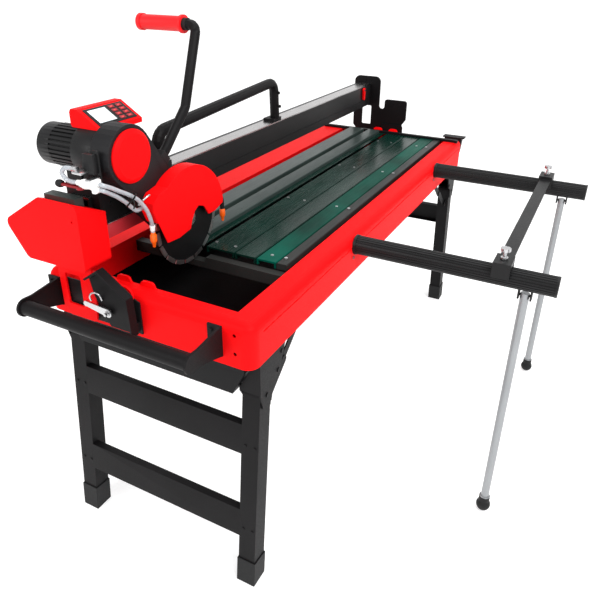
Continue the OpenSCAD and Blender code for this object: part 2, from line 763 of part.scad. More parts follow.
module feed_belt() {
  color(black) place() translate([0, 0, feed_z - belt_h / 2]) linear_extrude(belt_h)
    difference() {
      polygon(loop_outline([feed_x, feed_y], pulley_r + belt_t, [idler_x, feed_y],
        pulley_r + belt_t));
      polygon(loop_outline([feed_x, feed_y], pulley_r + 0.1, [idler_x, feed_y],
        pulley_r + 0.1));
    }
}

// ---- Carriage ----
gap = 0.4;
car_x0 = -698;
car_x1 = -478;
car_y0 = 100;
car_top = 840;
module carriage() {
  color(black) place() {
    plate_x(car_x0, car_x1) polygon([[car_y0, 736], [rail_y0 - gap, 736],
      [rail_y0 - gap, rail_z1 + gap], [rail_y1 + gap, rail_z1 + gap], [rail_y1 + gap, 736],
      [rail_y1 + 13, 736], [rail_y1 + 13, car_top], [car_y0, car_top]]);
    for (x = [car_x0 + 30, car_x1 - 30]) for (z = [760, 800]) rod_y(car_y0 - 3, car_y0, x, z, 6);
  }
}
rotor_r = 26;
shaft_r = 8;
bell_r = 50;
spigot_y0 = case_y1 - 6;
module saw_motor() {
  color(black) place() difference() {
    union() {
      plate_y(140, motor_y1 - 34) translate([motor_x, motor_z])
        polygon(ribbed(motor_r, 30, 3.5));
      rod_y(motor_y1 - 34, motor_y1 - 4, motor_x, motor_z, motor_r - 1);
      rod_y(motor_y1 - 4, motor_y1, motor_x, motor_z, motor_r - 6);
      block(motor_x - 27, motor_x + 27, 144, 182, car_top, motor_z - 30);
    }
    rod_y(139, motor_y1 - 12, motor_x, motor_z, rotor_r + 2);
    rod_y(motor_y1 - 13, motor_y1 + 1, motor_x, motor_z, 12);
  }
}
module motor_bell() {
  color(black) place() difference() {
    union() {
      rod_y(case_y1 + 0.5, 140, motor_x, motor_z, bell_r);
      rod_y(spigot_y0, case_y1 + 0.6, motor_x, motor_z, spigot_r);
      block(motor_x - 20, motor_x + 20, car_y0 + 2, 138, car_top, motor_z - bell_r + 6);
    }
    rod_y(case_y1 + 12, 141, motor_x, motor_z, bell_r - 6);
    rod_y(0, 200, motor_x, motor_z, shaft_r + fit);
  }
}
module motor_rotor() {
  color(steel) place() {
    rod_y(46, motor_y1 - 30, motor_x, motor_z, shaft_r);
    rod_y(150, motor_y1 - 40, motor_x, motor_z, rotor_r);
    rod_y(pulley_y0, pulley_y1, motor_x, motor_z, drive_r);
  }
}
arch_x0 = -505;
arch_x1 = 34;
arch_r = 13;
module cable_arch() {
  path = rounded_path([[arch_x0, 112, car_top + 0.05], [arch_x0, 112, 903], [18, 128, 930],
    [arch_x1, 134, 826]], 30);
  color(black) place() {
    swept_tube(path, arch_r, [0, 1, 0], 12);
    block(arch_x1 - 24, arch_x1 + 20, 124, 158, rail_z1 + gap, rail_z1 + 8);
    for (z = [862, 900]) rod_y(112, 122, 28 - (z - 862) * 0.15, z, 4);
  }
}
box_x0 = -688;
box_x1 = -572;
module control_box() {
  color(red) place() difference() {
    plate_x(box_x0, box_x1) polygon([[87, 942], [87, 951], [136, 981], [152, 981], [156, 975],
      [156, 953], [150, 942]]);
    rod_y(80, 170, motor_x, motor_z, bell_r + 0.1);
  }
}
panel_a = atan2(30, 49);
module control_panel() {
  color(black) place() translate([box_x0, 87, 951]) rotate([panel_a, 0, 0]) {
    block(8, 108, 6, 51, 0, 1.5);
    block(14, 54, 12, 45, 1.5, 2.2);
    for (i = [0:3]) for (j = [0:1])
      block(60 + i * 12, 69 + i * 12, 13 + j * 16, 25 + j * 16, 1.5, 2.4);
  }
}

// ---- Saw head ----
hub = [motor_x, motor_z];
axle = [blade_x, blade_z];
along = unit(axle - hub);
side = [-along[1], along[0]];
lever_base = hub + along * 82.4 + side * 68.3;
module belt_case() {
  color(black) place() difference() {
    union() {
      plate_y(case_y0, case_y1) polygon(loop_outline(hub, case_motor_r, axle, case_blade_r));
      plate_y(case_y0 + 1, case_y0 + 21) polygon([for (k = [[13, 22], [13, 0.1], [-13, 0.1],
        [-13, 22]]) lever_base + along * k[0] - side * k[1]]);
    }
    plate_y(case_y0 + 3, case_y1 - 4)
      polygon(loop_outline(hub, case_motor_r - 4, axle, case_blade_r - 4));
    rod_y(case_y1 - 5, case_y1 + 1, motor_x, motor_z, spigot_r + fit);
    rod_y(case_y0 - 1, case_y1 + 1, blade_x, blade_z, spindle_r + fit);
  }
}
module belt_case_cap() {
  color(red) place() {
    rod_y(case_y0 - 4, case_y0, motor_x, motor_z, 50);
    translate([motor_x, case_y0 - 4, motor_z]) rotate([90, 0, 0])
      cylinder(r1 = 50, r2 = 42, h = 5);
  }
}
function rel(v) = [for (p = v) axle + p];
module blade_guard() {
  r = guard_r - 4;
  color(red) place() difference() {
    plate_y(guard_y0, case_y0) polygon(rel(concat([[112, 2]], arc(0, 0, guard_r, 6, 128, 28),
      [[-100, 84], [-116, 70], [-116, 52], [-84, -22], [-47, -25], [-9, -19], [-2, -2], [9, 15],
      [23, 23], [41, 16], [57, -8], [82, -8]])));
    plate_y(guard_y0 + 3, case_y0 + 1) polygon(rel(concat([[108, -20]], arc(0, 0, r, 2, 128, 26),
      [[-98, 79], [-112, 68], [-112, 52], [-105, 30], [-105, -40], [108, -40]])));
  }
}
lever_r = 10;
module head_lever() {
  p = lever_base;
  q = p + side * 10;
  path = rounded_path([[p[0], 52, p[1]], [q[0], 52, q[1]], [-480, 52, 957], [-425, 52, 1111],
    [-425, 81.9, 1111]], 16, 6);
  color(black) place() {
    swept_tube(path, lever_r, [0.2, 0.3, -1], 12);
    rod_y(72, 82, -425, 1111, 12);
  }
}
module lever_grip() {
  color(red) place() {
    rod_y(82, 192, -425, 1111, 15);
    rod_y(82, 88, -425, 1111, 18);
    rod_y(186, 195, -425, 1111, 17);
  }
}
tee = [-752, 58, 870];
tee_r = 8;
valve_y = 84;
loop_z = 894;
outlets = [tee[2] + 5, tee[2] - 5];
nozzle_l = [-646, 23];
nozzle_r = [-404, 26];
nipple = [-653.2, 30, 802];
module hose_fittings() {
  color(steel) place() {
    // Bracket on the side of the belt case
    block(-735, -731.2, 54, 96, 858, 926);
    difference() {
      block(-731.3, -714, 58, 82, 885, 921);
      rod_y(50, 90, motor_x, motor_z, case_motor_r + 0.1);
    }
    block(tee[0] - 4, -735, 54, 66, tee[2] + tee_r - 2, tee[2] + tee_r + 4);
    block(tee[0] - 4, -735, 74, 96, loop_z - 8, loop_z - 4);
    rod_y(88, 99, tee[0], loop_z, 5.5);
    // Tee with its two outlets, its inlet and the valve's pin
    rod_y(49, 74, tee[0], tee[2], tee_r);
    block(tee[0] - 7, tee[0] + 7, 43, 50, tee[2] - 11, tee[2] + 11);
    for (z = outlets) rod_y(37, 44, tee[0], z, 4.6);
    rod_y(73, 90, tee[0], tee[2], 5.5);
    rod_z(tee[2] - 12.5, tee[2] - 4, tee[0], valve_y, 4);
    // Nipple on the guard, the left nozzle, and the right one on its elbow
    rod_x(nipple[0] - 11, nipple[0], nipple[1], nipple[2], 4);
    rod_z(718, 748, nozzle_l[0], nozzle_l[1], 5);
    rod_z(686, 752, nozzle_r[0], nozzle_r[1], 5);
    rod_x(-423.2, nozzle_r[0], nozzle_r[1], 748, 3.5);
  }
}
module valve_handle() {
  z0 = tee[2] - 11.5;
  color(red) place() difference() {
    union() {
      rod_z(z0, z0 + 5, tee[0], valve_y, 8);
      block(tee[0] - 4, tee[0] + 4, valve_y, valve_y + 48, z0 + 0.5, z0 + 4.5);
    }
    rod_z(z0 - 5, z0 + 10, tee[0], valve_y, 4 + fit);
  }
}
hose_r = 4;
hose_left = [[-752, 36.9, 875], [-752, 28, 875], [-722, 24, 856], [-681, 20, 826],
  [-662, 18, 800], [-653, 19, 773], [-646, 23, 758], [-646, 23, 748.1]];
hose_right = [[-752, 36.9, 865], [-752, 27, 865], [-724, 30, 845], [-690, 30, 815],
  [-676, 30, 802], [-664.3, 30, 802]];
hose_loop = [[-752, 90.1, 870], [-752, 124, 870], [-752, 124, 894], [-752, 99.1, 894]];
module water_hoses() {
  across = [0.7, 0, 0.7];
  color("#e4e8ec") place() {
    swept_tube(rounded_path(hose_left, 7, 3), hose_r, across, 8);
    swept_tube(rounded_path(hose_right, 7, 3), hose_r, across, 8);
    swept_tube(rounded_path(hose_loop, 9, 4), hose_r, [1, 0, 0], 8);
  }
}
module drive_belt() {
  color(black) place() plate_y(pulley_y0 + 2, pulley_y1 - 2) difference() {
    polygon(loop_outline(hub, drive_r + 4, axle, driven_r + 4));
    polygon(loop_outline(hub, drive_r + 0.5, axle, driven_r + 0.5));
  }
}
module blade_spindle() {
  color(steel) place() {
    rod_y(16, case_y1 + 4, blade_x, blade_z, spindle_r);
    rod_y(13, 21.8, blade_x, blade_z, 15);
    rod_y(24.2, 34, blade_x, blade_z, 22);
    rod_y(pulley_y0, pulley_y1, blade_x, blade_z, driven_r);
  }
}
module saw_blade() {
  teeth = 18;
  color(steel) place() plate_y(blade_y - 1.2, blade_y + 1.2) translate(axle) difference() {
    polygon([for (i = [0:teeth - 1]) for (k = [0:4])
      let (a = (i + [0, 0.4, 0.82, 0.84, 0.98][k]) * 360 / teeth, q = k < 3 ? 0 : 9)
      [(blade_r - q) * cos(a), (blade_r - q) * sin(a)]]);
    circle(spindle_r + fit);
  }
}

front_side_rail();
back_side_rail();
near_end_panel();
far_end_panel();
corner_caps();
water_basin();
table_cross_members();
table_boards();
table_edge_strip();
table_screws();
far_rest_strip();
end_handle_tube();
handle_brackets();
near_tilt_plate();
far_tilt_plate();
extension_arms();
leg_hangers();
far_lift_plate();
tilt_lock_lever();
bridge_rail();
rail_top_strip();
near_swing_plate();
far_swing_post();
rail_clamp_lever();
feed_housing();
feed_motor();
feed_pulley();
idler_pulley();
feed_belt();
carriage();
saw_motor();
motor_bell();
cable_arch();
control_box();
control_panel();
belt_case();
belt_case_cap();
blade_guard();
head_lever();
lever_grip();
water_hoses();
hose_fittings();
valve_handle();
motor_rotor();
drive_belt();
blade_spindle();
saw_blade();
near_leg_frame();
far_leg_frame();
near_leg_boots();
far_leg_boots();
near_brace_lower();
near_brace_upper();
far_brace_lower();
far_brace_upper();
near_prop();
far_prop();
fence_bar();
fence_screw_near();
fence_screw_far();
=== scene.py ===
"""Looks for the bridge tile cutter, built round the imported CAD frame. Metres, Z up."""
import json
import math
import bpy
import bmesh
from mathutils import Matrix, Vector


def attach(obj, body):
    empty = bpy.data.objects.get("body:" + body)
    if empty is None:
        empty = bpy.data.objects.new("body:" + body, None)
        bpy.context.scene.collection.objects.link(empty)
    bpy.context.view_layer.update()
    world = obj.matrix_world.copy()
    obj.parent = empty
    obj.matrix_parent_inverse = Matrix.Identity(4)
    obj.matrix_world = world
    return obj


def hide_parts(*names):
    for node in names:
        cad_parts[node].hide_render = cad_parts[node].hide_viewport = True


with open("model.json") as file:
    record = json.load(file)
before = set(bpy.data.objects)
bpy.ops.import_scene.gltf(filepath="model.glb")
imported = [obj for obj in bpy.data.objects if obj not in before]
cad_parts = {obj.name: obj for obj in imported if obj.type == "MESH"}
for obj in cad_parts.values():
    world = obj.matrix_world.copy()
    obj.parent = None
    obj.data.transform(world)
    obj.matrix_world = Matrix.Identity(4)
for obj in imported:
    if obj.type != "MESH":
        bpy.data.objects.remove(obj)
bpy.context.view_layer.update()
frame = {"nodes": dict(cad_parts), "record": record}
NODES = frame["nodes"]

# Working coordinates are centred on the leg frames; the shift moves them to the part's origin
SHIFT = Vector((0.0295, 0.2155, 0.0))


def at(x, y, z):
    """A point in working millimetres as metres in the part's frame."""
    return Vector((x, y, z)) / 1000 + SHIFT


# ---- Camera ----
CAM_AT = (-1488.5, -732.4, 1219.9)
CAM_RIGHT = Vector((0.4618, -0.8869, 0.0095)).normalized()
CAM_FORWARD = Vector((0.7992, 0.4114, -0.4382)).normalized()
CAM_DOWN = CAM_FORWARD.cross(CAM_RIGHT)
CAM_LENS = 36.53
CAM_SHIFT = (0.0018, -0.063)


def make_camera():
    data = bpy.data.cameras.new("camera")
    data.sensor_width = 36
    data.lens = CAM_LENS
    data.shift_x, data.shift_y = CAM_SHIFT
    data.clip_start, data.clip_end = 0.05, 60
    cam = bpy.data.objects.new("camera", data)
    bpy.context.scene.collection.objects.link(cam)
    up = -CAM_DOWN
    rot = Matrix((CAM_RIGHT, up, -CAM_FORWARD)).transposed()
    cam.matrix_world = Matrix.Translation(at(*CAM_AT)) @ rot.to_4x4()
    bpy.context.scene.camera = cam


# ---- Materials ----
RAMP_ENDS = (0.3, 0.7)
PATCH_SCALE = 0.12
PATCH_DETAIL = 5.0
GRAIN_SCALE = 8
GRAIN_DETAIL = 6.0
BUMP_DEPTH = 0.0006
COAT_ROUGH = 0.2


def new_material(name):
    mat = bpy.data.materials.new(name)
    mat.use_nodes = True
    tree = mat.node_tree
    tree.nodes.clear()
    out = tree.nodes.new("ShaderNodeOutputMaterial")
    bsdf = tree.nodes.new("ShaderNodeBsdfPrincipled")
    tree.links.new(bsdf.outputs[0], out.inputs[0])
    return mat, tree, bsdf


def noise(tree, scale, detail, stretch=None):
    """Noise in the object's own coordinates, which may be stretched into streaks."""
    coord = tree.nodes.new("ShaderNodeTexCoord")
    tex = tree.nodes.new("ShaderNodeTexNoise")
    tex.inputs["Scale"].default_value = scale
    tex.inputs["Detail"].default_value = detail
    source = coord.outputs["Object"]
    if stretch:
        mapping = tree.nodes.new("ShaderNodeMapping")
        mapping.inputs["Scale"].default_value = stretch
        tree.links.new(source, mapping.inputs["Vector"])
        source = mapping.outputs["Vector"]
    tree.links.new(source, tex.inputs["Vector"])
    return tex


def ramp(tree, source, low, high):
    """A ramp from one colour to another over the middle of the noise's spread."""
    node = tree.nodes.new("ShaderNodeValToRGB")
    for element, place, color in zip(node.color_ramp.elements, RAMP_ENDS, (low, high)):
        element.position = place
        element.color = (*color, 1)
    tree.links.new(source, node.inputs["Fac"])
    return node


def scaled(color, k):
    """A colour made lighter or darker."""
    return tuple(min(1.0, c * k) for c in color)


def finish_material(name, color, rough, metal=0.0, coat=0.0, bump=0.05, scale=60.0,
                    spread=0.12, stretch=None, transmission=0.0, specular=0.5, glow=0.0):
    """A coat of colour with soft patches, fine grain in the bump and a varying roughness."""
    mat, tree, bsdf = new_material(name)
    patches = noise(tree, scale * PATCH_SCALE, PATCH_DETAIL)
    tint = ramp(tree, patches.outputs["Fac"], scaled(color, 1 - spread), scaled(color, 1 + spread))
    tree.links.new(tint.outputs["Color"], bsdf.inputs["Base Color"])
    grain = noise(tree, scale * GRAIN_SCALE, GRAIN_DETAIL, stretch)
    low = max(0.02, rough - 0.07)
    high = min(1.0, rough + 0.08)
    rough_ramp = ramp(tree, grain.outputs["Fac"], (low,) * 3, (high,) * 3)
    tree.links.new(rough_ramp.outputs["Color"], bsdf.inputs["Roughness"])
    bump_node = tree.nodes.new("ShaderNodeBump")
    bump_node.inputs["Strength"].default_value = bump
    bump_node.inputs["Distance"].default_value = BUMP_DEPTH
    tree.links.new(grain.outputs["Fac"], bump_node.inputs["Height"])
    tree.links.new(bump_node.outputs["Normal"], bsdf.inputs["Normal"])
    bsdf.inputs["Metallic"].default_value = metal
    bsdf.inputs["Coat Weight"].default_value = coat
    bsdf.inputs["Coat Roughness"].default_value = COAT_ROUGH
    bsdf.inputs["Specular IOR Level"].default_value = specular
    bsdf.inputs["Transmission Weight"].default_value = transmission
    if glow:
        bsdf.inputs["Emission Color"].default_value = (*color, 1)
        bsdf.inputs["Emission Strength"].default_value = glow
    return mat


# Brushing and wood grain run along the machine
STREAK_X = (0.04, 1.0, 1.0)
RED = (0.86, 0.0035, 0.005)
BLACK = (0.007, 0.007, 0.0075)
M = {
    "red_sheet": finish_material("red_sheet", RED, 0.5, specular=0.045, spread=0.05),
    "red_plastic": finish_material("red_plastic", RED, 0.5, bump=0.12, spread=0.05,
                                   specular=0.045),
    "black_sheet": finish_material("black_sheet", (0.0055, 0.005, 0.0055), 0.5, bump=0.14,
                                   spread=0.25, specular=0.12),
    "green_boards": finish_material("green_boards", (0.0012, 0.016, 0.011), 0.24, bump=0.08,
                                    stretch=STREAK_X, spread=0.3, specular=0.16),
    # Lighter teal on the front of the table boards: a painted reflection of the sky
    "board_painted_sheen": finish_material("board_painted_sheen", (0.0, 0.05, 0.033), 0.42, bump=0.08,
                                   stretch=STREAK_X, spread=0.5, specular=0.05),
    # Greyer tone on the raised strips: a painted reflection of the sky
    "strip_painted_sheen": finish_material("strip_painted_sheen", (0.035, 0.05, 0.046), 0.34, metal=0.2, bump=0.1,
                                  stretch=STREAK_X, spread=0.2, specular=0.2),
    "edge_grey": finish_material("edge_grey", (0.02, 0.021, 0.02), 0.4, bump=0.1,
                                 stretch=STREAK_X, spread=0.2, specular=0.12),
    "bright_steel": finish_material("bright_steel", (0.55, 0.55, 0.56), 0.28, metal=1.0,
                                    bump=0.12, stretch=STREAK_X, spread=0.1),
    "rail_polish": finish_material("rail_polish", (0.36, 0.35, 0.35), 0.24, metal=1.0,
                                   bump=0.1, stretch=STREAK_X, spread=0.12),
    "blade_steel": finish_material("blade_steel", (0.035, 0.035, 0.037), 0.4, metal=0.9,
                                   bump=0.15, spread=0.2),
    "blade_rim": finish_material("blade_rim", (0.55, 0.55, 0.55), 0.35, metal=1.0, bump=0.3,
                                 spread=0.3, scale=200),
    "black_plastic": finish_material("black_plastic", (0.009, 0.009, 0.010), 0.5, bump=0.25,
                                     spread=0.2, specular=0.18),
    "black_rubber": finish_material("black_rubber", BLACK, 0.62, bump=0.3, spread=0.2,
                                    specular=0.25),
    "grip_red": finish_material("grip_red", (0.80, 0.006, 0.010), 0.5, bump=0.3, spread=0.08,
                                specular=0.3),
    "black_alloy": finish_material("black_alloy", (0.009, 0.009, 0.0095), 0.42, bump=0.18,
                                   spread=0.2, specular=0.2),
    "alloy": finish_material("alloy", (0.30, 0.31, 0.32), 0.36, metal=0.75, bump=0.08,
                             spread=0.06),
    "white_tube": finish_material("white_tube", (0.50, 0.53, 0.57), 0.2, bump=0.05,
                                  spread=0.08, transmission=0.3, coat=0.3),
    "belt": finish_material("belt", BLACK, 0.7, bump=0.3, spread=0.2, specular=0.2),
    "cast": finish_material("cast", BLACK, 0.5, bump=0.3, spread=0.2, specular=0.3),
    "orange": finish_material("orange", (0.95, 0.13, 0.005), 0.35, bump=0.1, spread=0.06),
    "white_plastic": finish_material("white_plastic", (0.86, 0.86, 0.85), 0.35, bump=0.1,
                                     spread=0.04),
    "dark_red": finish_material("dark_red", (0.22, 0.004, 0.008), 0.4, bump=0.15, spread=0.12,
                                specular=0.3),
    "basin": finish_material("basin", (0.0025, 0.0025, 0.003), 0.5, bump=0.1, spread=0.3,
                             specular=0.15),
    "lcd": finish_material("lcd", (0.72, 0.80, 0.83), 0.15, bump=0.02, spread=0.04, coat=0.3),
    "key_mark": finish_material("key_mark", (0.9, 0.03, 0.03), 0.4, bump=0.05, spread=0.05),
    "grey_lid": finish_material("grey_lid", (0.025, 0.033, 0.03), 0.35, bump=0.15, spread=0.2,
                                specular=0.4),
    # Red sheet made lighter and pinker: a painted sheen of reflected light on the carriage skirt
    "red_painted_sheen": finish_material("red_painted_sheen", (0.50, 0.03, 0.04), 0.34, bump=0.08, spread=0.06,
                                 stretch=STREAK_X, specular=0.3),
}

# ---- Looks of the CAD nodes ----
SLOT_OF = {part["node"]: part["material_slot"] for part in frame["record"]["subparts"]}
# Nodes whose finish differs from the one that their slot is named after
LOOK_OF = {"saw_blade": "blade_steel", "lever_grip": "grip_red", "water_basin": "basin",
           "rail_top_strip": "rail_polish", "table_edge_strip": "edge_grey",
           "table_cross_members": "edge_grey", "valve_handle": "dark_red"}
for name, obj in NODES.items():
    look = M[LOOK_OF.get(name, SLOT_OF[name])]
    obj.data.materials.clear()
    obj.data.materials.append(look)


def paint(node, look, test):
    """Gives another finish to the faces of a node whose centre, in working mm, passes the test."""
    obj = NODES[node]
    obj.data.materials.append(M[look])
    index = len(obj.data.materials) - 1
    for face in obj.data.polygons:
        if test((face.center - SHIFT) * 1000):
            face.material_index = index


# Places in working millimetres where a node changes its finish
BOARD_SHEEN_Y = -111
STRIP_Y = 46
BLADE_X = -537
BLADE_Z = 740
RIM_R = 93
PROP_FOOT_Z = 43
LID_X = (-759, -735)
ROOF_START_X = -775
ROOF_START_Z = 836.5
ROOF_SLOPE = 0.478
ARM_SCREW_X = (-278, 384)
ARM_SCREW_REACH = 5
ARM_SCREW_TOP = 607
ARM_ROOT_Y = -255
COLLAR_Z = 1095
COLLAR_Y = 70


def on_lid(p):
    above_roof = p.z > ROOF_START_Z - ROOF_SLOPE * (p.x - ROOF_START_X)
    return LID_X[0] < p.x < LID_X[1] and above_roof


def on_arm_screw(p):
    beside = min(abs(p.x - x) for x in ARM_SCREW_X) < ARM_SCREW_REACH
    return p.y > ARM_ROOT_Y and beside and p.z < ARM_SCREW_TOP


# The front of the boards is painted teal as a reflection of the sky
paint("table_boards", "board_painted_sheen", lambda p: p.y < BOARD_SHEEN_Y)
# The raised strips are painted greyer as a reflection of the sky
paint("table_boards", "strip_painted_sheen", lambda p: p.y > STRIP_Y)
paint("saw_blade", "blade_rim", lambda p: math.hypot(p.x - BLADE_X, p.z - BLADE_Z) > RIM_R)
for prop in ("near_prop", "far_prop"):
    paint(prop, "black_rubber", lambda p: p.z < PROP_FOOT_Z)
paint("feed_housing", "grey_lid", on_lid)
paint("extension_arms", "bright_steel", on_arm_screw)
paint("head_lever", "black_rubber", lambda p: p.z > COLLAR_Z and p.y > COLLAR_Y)

WELD_REACH = 0.00002
SOFT_ANGLE = math.radians(30)


def soften(node, width):
    """Rounds the sharp edges of a CAD node a little, as pressed sheet and mouldings have."""
    obj = NODES[node]
    weld = obj.modifiers.new("weld", "WELD")
    weld.merge_threshold = WELD_REACH
    edge = obj.modifiers.new("edge", "BEVEL")
    edge.width = width
    edge.segments = 2
    edge.limit_method = "ANGLE"
    edge.angle_limit = SOFT_ANGLE
    edge.harden_normals = True


# Width of the rounded edge in metres
SOFT_EDGES = {"feed_housing": 0.005, "blade_guard": 0.0025, "belt_case": 0.003,
              "control_box": 0.004, "belt_case_cap": 0.0015, "near_leg_frame": 0.0012,
              "far_leg_frame": 0.0012, "near_leg_boots": 0.0015, "far_leg_boots": 0.0015,
              "near_tilt_plate": 0.0015, "handle_brackets": 0.0012, "near_swing_plate": 0.001,
              "far_swing_post": 0.001, "carriage": 0.0015, "motor_bell": 0.0015,
              "saw_motor": 0.0006, "lever_grip": 0.002, "fence_bar": 0.0008}
for node, width in SOFT_EDGES.items():
    soften(node, width)


# ---- Floor and light ----
STAGE_HALF = 9.0
# The floor runs up into a wall behind the object: (distance, height)
STAGE_SWEEP = [(-9, 0), (4, 0), (5.2, 0.15), (6.2, 0.7), (6.9, 1.7), (7.1, 3.2), (7.1, 8)]
STAGE_TURN = math.radians(-62)
STAGE_DROP = 0.001


def make_stage():
    bm = bmesh.new()
    left, right = [[bm.verts.new((x, y, z)) for y, z in STAGE_SWEEP]
                   for x in (-STAGE_HALF, STAGE_HALF)]
    for i in range(len(STAGE_SWEEP) - 1):
        bm.faces.new((left[i], right[i], right[i + 1], left[i + 1]))
    mesh = bpy.data.meshes.new("floor")
    bm.to_mesh(mesh)
    bm.free()
    mesh.shade_smooth()
    floor = bpy.data.objects.new("floor", mesh)
    bpy.context.scene.collection.objects.link(floor)
    floor.rotation_euler = (0, 0, STAGE_TURN)
    floor.location = (0, 0, -STAGE_DROP)
    floor.data.materials.append(finish_material("floor_white", (0.72, 0.72, 0.72), 0.7,
                                                bump=0.02, spread=0.01, glow=0.7))


def area_light(name, where, target, size, power):
    """A soft panel of light, aimed at a point."""
    data = bpy.data.lights.new(name, "AREA")
    data.shape = "RECTANGLE"
    data.size, data.size_y = size
    data.energy = power
    lamp = bpy.data.objects.new(name, data)
    bpy.context.scene.collection.objects.link(lamp)
    lamp.location = where
    aim = Vector(target) - Vector(where)
    lamp.rotation_mode = "QUATERNION"
    lamp.rotation_quaternion = aim.to_track_quat("-Z", "Y")


WORLD_STRENGTH = 0.6
# Name, place, aim, size and power
LAMPS = [("key", (-1.6, -2.6, 3.4), (0, 0, 0.6), (2.2, 2.2), 150),
         ("top", (0.6, 0.2, 3.8), (0, 0, 0.6), (3.0, 2.0), 60),
         ("left", (-3.4, 1.4, 2.2), (-0.5, 0, 0.7), (1.6, 1.6), 45)]


def make_light():
    world = bpy.data.worlds.new("studio")
    world.use_nodes = True
    back = world.node_tree.nodes["Background"]
    back.inputs["Color"].default_value = (1, 1, 1, 1)
    back.inputs["Strength"].default_value = WORLD_STRENGTH
    bpy.context.scene.world = world
    for lamp in LAMPS:
        area_light(*lamp)


# ---- Makers of detail pieces ----
def finish_piece(bm, name, sharp, look, body):
    """Turns a mesh into a piece on a body, smooth but for edges sharper than an angle."""
    mesh = bpy.data.meshes.new(name)
    bm.to_mesh(mesh)
    bm.free()
    mesh.shade_smooth()
    mesh.set_sharp_from_angle(angle=math.radians(sharp))
    obj = bpy.data.objects.new(name, mesh)
    bpy.context.scene.collection.objects.link(obj)
    mesh.materials.append(M[look])
    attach(obj, body)
    return obj


def square_to(along):
    """Two directions square to a third."""
    along = along.normalized()
    helper = Vector((0, 0, 1)) if abs(along.z) < 0.9 else Vector((1, 0, 0))
    u = along.cross(helper).normalized()
    return u, along.cross(u)


def ring_of(bm, middle, radius, u, v, sides):
    """A ring of points, or a single point where the radius is nothing."""
    if radius == 0:
        return [bm.verts.new(at(*middle))]
    turns = [2 * math.pi * i / sides for i in range(sides)]
    return [bm.verts.new(at(*(middle + radius * (math.cos(a) * u + math.sin(a) * v))))
            for a in turns]


def join_rings(bm, rings, sides):
    """Skins a row of rings and closes both ends."""
    for low, high in zip(rings, rings[1:]):
        for i in range(sides):
            j = (i + 1) % sides
            face = [low[i % len(low)], low[j % len(low)], high[j % len(high)], high[i % len(high)]]
            bm.faces.new(list(dict.fromkeys(face)))
    for ring in (rings[0], rings[-1]):
        if len(ring) > 1:
            bm.faces.new(ring)
    bmesh.ops.recalc_face_normals(bm, faces=bm.faces)


def lathe(name, start, end, profile, look, body, sides=24):
    """A turned piece: profile holds (share of the way from start to end, radius in mm)."""
    bm = bmesh.new()
    axis = Vector(end) - Vector(start)
    u, v = square_to(axis)
    rings = [ring_of(bm, Vector(start) + axis * share, radius, u, v, sides)
             for share, radius in profile]
    join_rings(bm, rings, sides)
    return finish_piece(bm, name, 40, look, body)


PATH_STEPS = 6


def smooth_path(points):
    """A Catmull-Rom curve through the points."""
    pts = [Vector(p) for p in points]
    pts = [2 * pts[0] - pts[1]] + pts + [2 * pts[-1] - pts[-2]]
    path = []
    for i in range(1, len(pts) - 2):
        a, b, c, d = pts[i - 1:i + 3]
        for k in range(PATH_STEPS):
            t = k / PATH_STEPS
            path.append(0.5 * (2 * b + (c - a) * t + (2 * a - 5 * b + 4 * c - d) * t * t
                               + (3 * b - a - 3 * c + d) * t ** 3))
    return path + [pts[-2]]


def tube(name, points, radius, look, body, sides=16):
    """A round tube along a smooth path, its frame carried along without twist."""
    path = smooth_path(points)
    bm = bmesh.new()
    u, _ = square_to(path[1] - path[0])
    rings = []
    for i, middle in enumerate(path):
        along = (path[min(i + 1, len(path) - 1)] - path[max(i - 1, 0)]).normalized()
        u = (u - along * u.dot(along)).normalized()
        rings.append(ring_of(bm, middle, radius, u, along.cross(u), sides))
    join_rings(bm, rings, sides)
    return finish_piece(bm, name, 50, look, body)


def slab(name, corners, thick, look, body, soft=0.4):
    """A plate whose outline is given as points in working mm, thick along the outline's normal,
    with rounded edges."""
    bm = bmesh.new()
    points = [Vector(c) for c in corners]
    normal = (points[1] - points[0]).cross(points[-1] - points[0]).normalized()
    low = [bm.verts.new(at(*p)) for p in points]
    high = [bm.verts.new(at(*(p + normal * thick))) for p in points]
    bm.faces.new(low[::-1])
    bm.faces.new(high)
    for i in range(len(points)):
        j = (i + 1) % len(points)
        bm.faces.new((low[i], low[j], high[j], high[i]))
    bmesh.ops.recalc_face_normals(bm, faces=bm.faces)
    bmesh.ops.bevel(bm, geom=list(bm.edges), offset=soft / 1000, segments=2, profile=0.5,
                    affect="EDGES", clamp_overlap=True)
    return finish_piece(bm, name, 35, look, body)


def rect_x(x, y0, y1, z0, z1):
    """A rectangle square to X."""
    return [(x, y0, z0), (x, y1, z0), (x, y1, z1), (x, y0, z1)]


def rect_z(x0, x1, y0, y1, z):
    """A rectangle square to Z."""
    return [(x0, y0, z), (x1, y0, z), (x1, y1, z), (x0, y1, z)]


# ---- Water supply ----
TEE_X = -752
TEE_Z = 870
TEE_HALF = 9
MANIFOLD_Y = 50
MANIFOLD_H = 12
OUTLETS = {"upper": TEE_Z + 5, "lower": TEE_Z - 5}
LOOP_Z = 894
BRACKET_X = -731.2
NOZZLE_LEFT = (-646, 23)
NOZZLE_RIGHT = (-404, 26)
HOSE_R = 4
